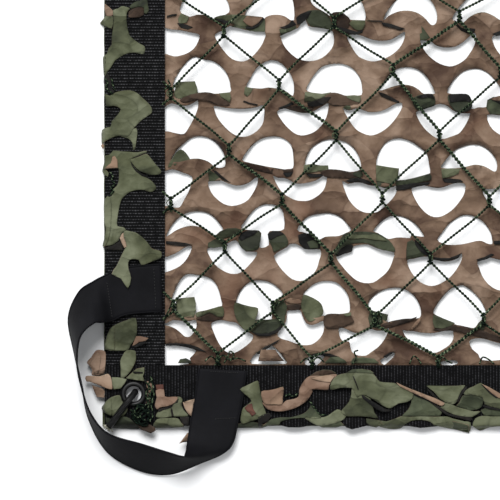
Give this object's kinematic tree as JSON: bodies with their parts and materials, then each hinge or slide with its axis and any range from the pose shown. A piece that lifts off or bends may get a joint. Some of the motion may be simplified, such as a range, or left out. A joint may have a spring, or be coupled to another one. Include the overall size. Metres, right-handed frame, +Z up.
{
  "type": "camouflage net with webbing border, corner straps and eyelets",
  "caption": "leaf-cut camouflage cloth under a knotted twine net, bordered with webbing that has an eyelet and a tape strap at each corner",
  "frame": {"origin": "the middle of the panel's footprint, on the surface that it lies on", "axes": "Z is up and is the thickness of the flat panel; Y runs up the panel as it is seen from above, towards the top webbing; X runs to the right, towards the right webbing"},
  "size_m": [0.6988, 0.7198, 0.0414],
  "materials": {
    "leaf_brown": "matte knitted face with a fine grid",
    "leaf_green": "matte knitted reverse",
    "twine_green": "laid polyester twine with slight sheen",
    "webbing_black": "ribbed woven webbing",
    "tape_black": "smooth close-woven tape",
    "cord_black": "braided cord",
    "eyelet_black": "black lacquered metal"
  },
  "bodies": {
    "root": {"leaf_sheet": "leaf_brown", "twine_net": "twine_green", "tie_cord": "cord_black", "webbing_left": "webbing_black", "edging_left": "leaf_green", "webbing_right": "webbing_black", "edging_right": "leaf_green", "webbing_bottom": "webbing_black", "edging_bottom": "leaf_green", "webbing_top": "webbing_black", "edging_top": "leaf_green", "eyelet_bottom_left": "eyelet_black", "strap_bottom_left": "tape_black", "eyelet_bottom_right": "eyelet_black", "strap_bottom_right": "tape_black", "eyelet_top_right": "eyelet_black", "strap_top_right": "tape_black", "eyelet_top_left": "eyelet_black", "strap_top_left": "tape_black"}
  },
  "joints": []
}
